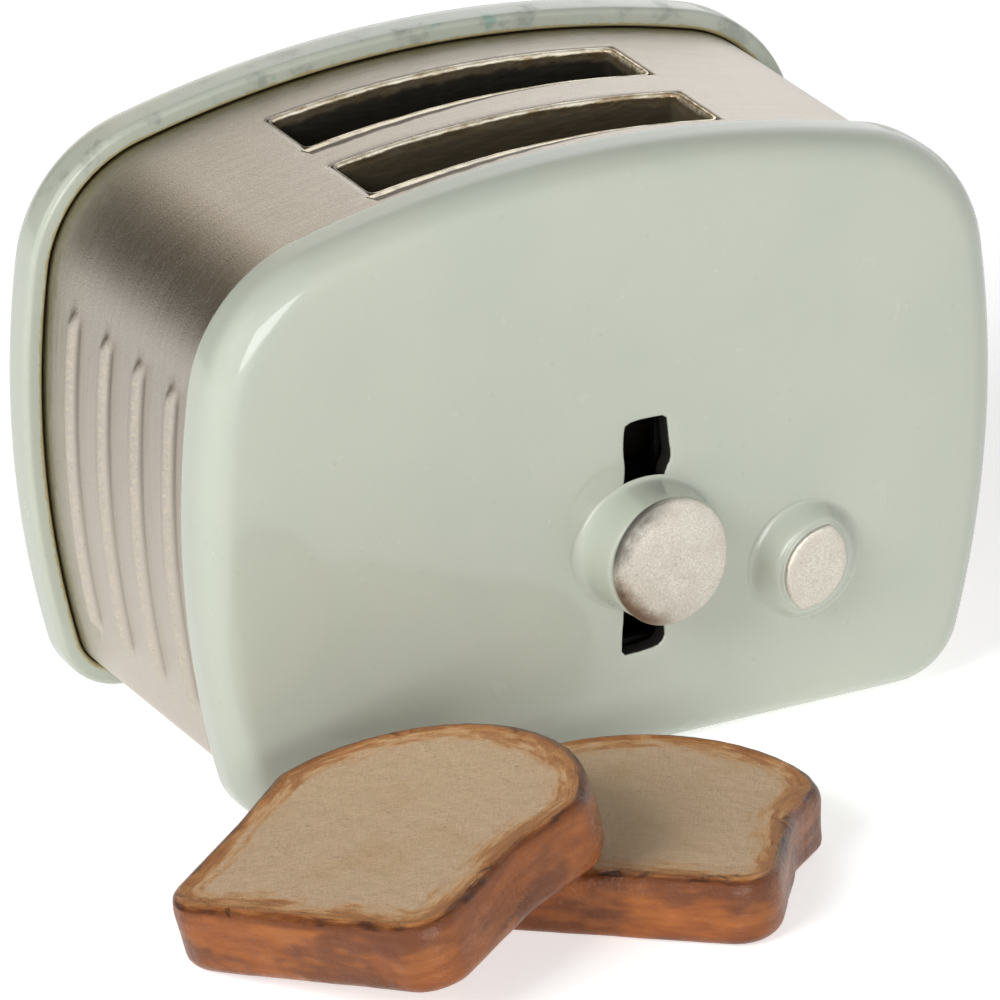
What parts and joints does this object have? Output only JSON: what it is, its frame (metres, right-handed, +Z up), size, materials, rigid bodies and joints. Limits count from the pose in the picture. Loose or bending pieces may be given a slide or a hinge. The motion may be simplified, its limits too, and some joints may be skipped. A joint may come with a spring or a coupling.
{
  "type": "toy toaster",
  "caption": "Miniature play toaster with enamelled end panels, a ribbed nickel band, two bread slots, a sliding lever, a turning dial and loose slices of toy bread.",
  "frame": {"origin": "centre of the toaster's footprint on the table", "axes": "+X to the right along the front panel, +Y from the front panel to the back panel, +Z up"},
  "size_m": [0.0703, 0.0637, 0.0435],
  "materials": {
    "enamel": "glossy sage-green enamel",
    "nickel": "brushed nickel",
    "well_metal": "dark bronzed sheet, bright at the lip",
    "silver": "fine-grained silver",
    "steel": "plain steel sheet",
    "screw_steel": "bright steel",
    "brass": "turned brass",
    "bread": "painted resin, brown crust and beige crumb"
  },
  "bodies": {
    "toaster": {"front_panel": "enamel", "back_panel": "enamel", "body_band": "nickel", "base_plate": "steel", "base_screws": "screw_steel", "front_bread_well": "well_metal", "rear_bread_well": "well_metal", "guide_frame": "steel", "guide_screws": "screw_steel", "guide_rods": "screw_steel", "dial_bush": "brass"},
    "lever": {"lever_knob": "enamel", "lever_knob_cap": "silver", "knob_screw": "screw_steel", "lever_stem": "steel", "lift_slider": "steel", "slider_bushes": "brass", "friction_spring": "screw_steel", "lift_arm": "steel", "front_bread_tray": "steel", "rear_bread_tray": "steel", "lift_rivets": "brass"},
    "dial": {"dial_knob": "enamel", "dial_face": "silver", "dial_shaft": "screw_steel", "dial_washer": "screw_steel", "dial_clip": "screw_steel"},
    "flat_bread": {"flat_slice": "bread"},
    "leaning_bread": {"leaning_slice": "bread"}
  },
  "joints": [
    {"name": "lever_slide", "type": "slide", "parent": "toaster", "child": "lever", "axis": [0, 0, 1], "range_m": [-0.0059, 0.0072]},
    {"name": "dial_turn", "type": "hinge", "parent": "toaster", "child": "dial", "pos_m": [0.0147, -0.016, 0.01175], "axis": [0, -1, 0], "range_deg": [-135, 135]},
    {"name": "flat_slice_slide", "type": "slide", "parent": "toaster", "child": "flat_bread", "axis": [1, 0, 0], "range_m": [0, 0.04]},
    {"name": "leaning_slice_lift", "type": "slide", "parent": "toaster", "child": "leaning_bread", "axis": [0, 0, 1], "range_m": [0, 0.06]}
  ]
}
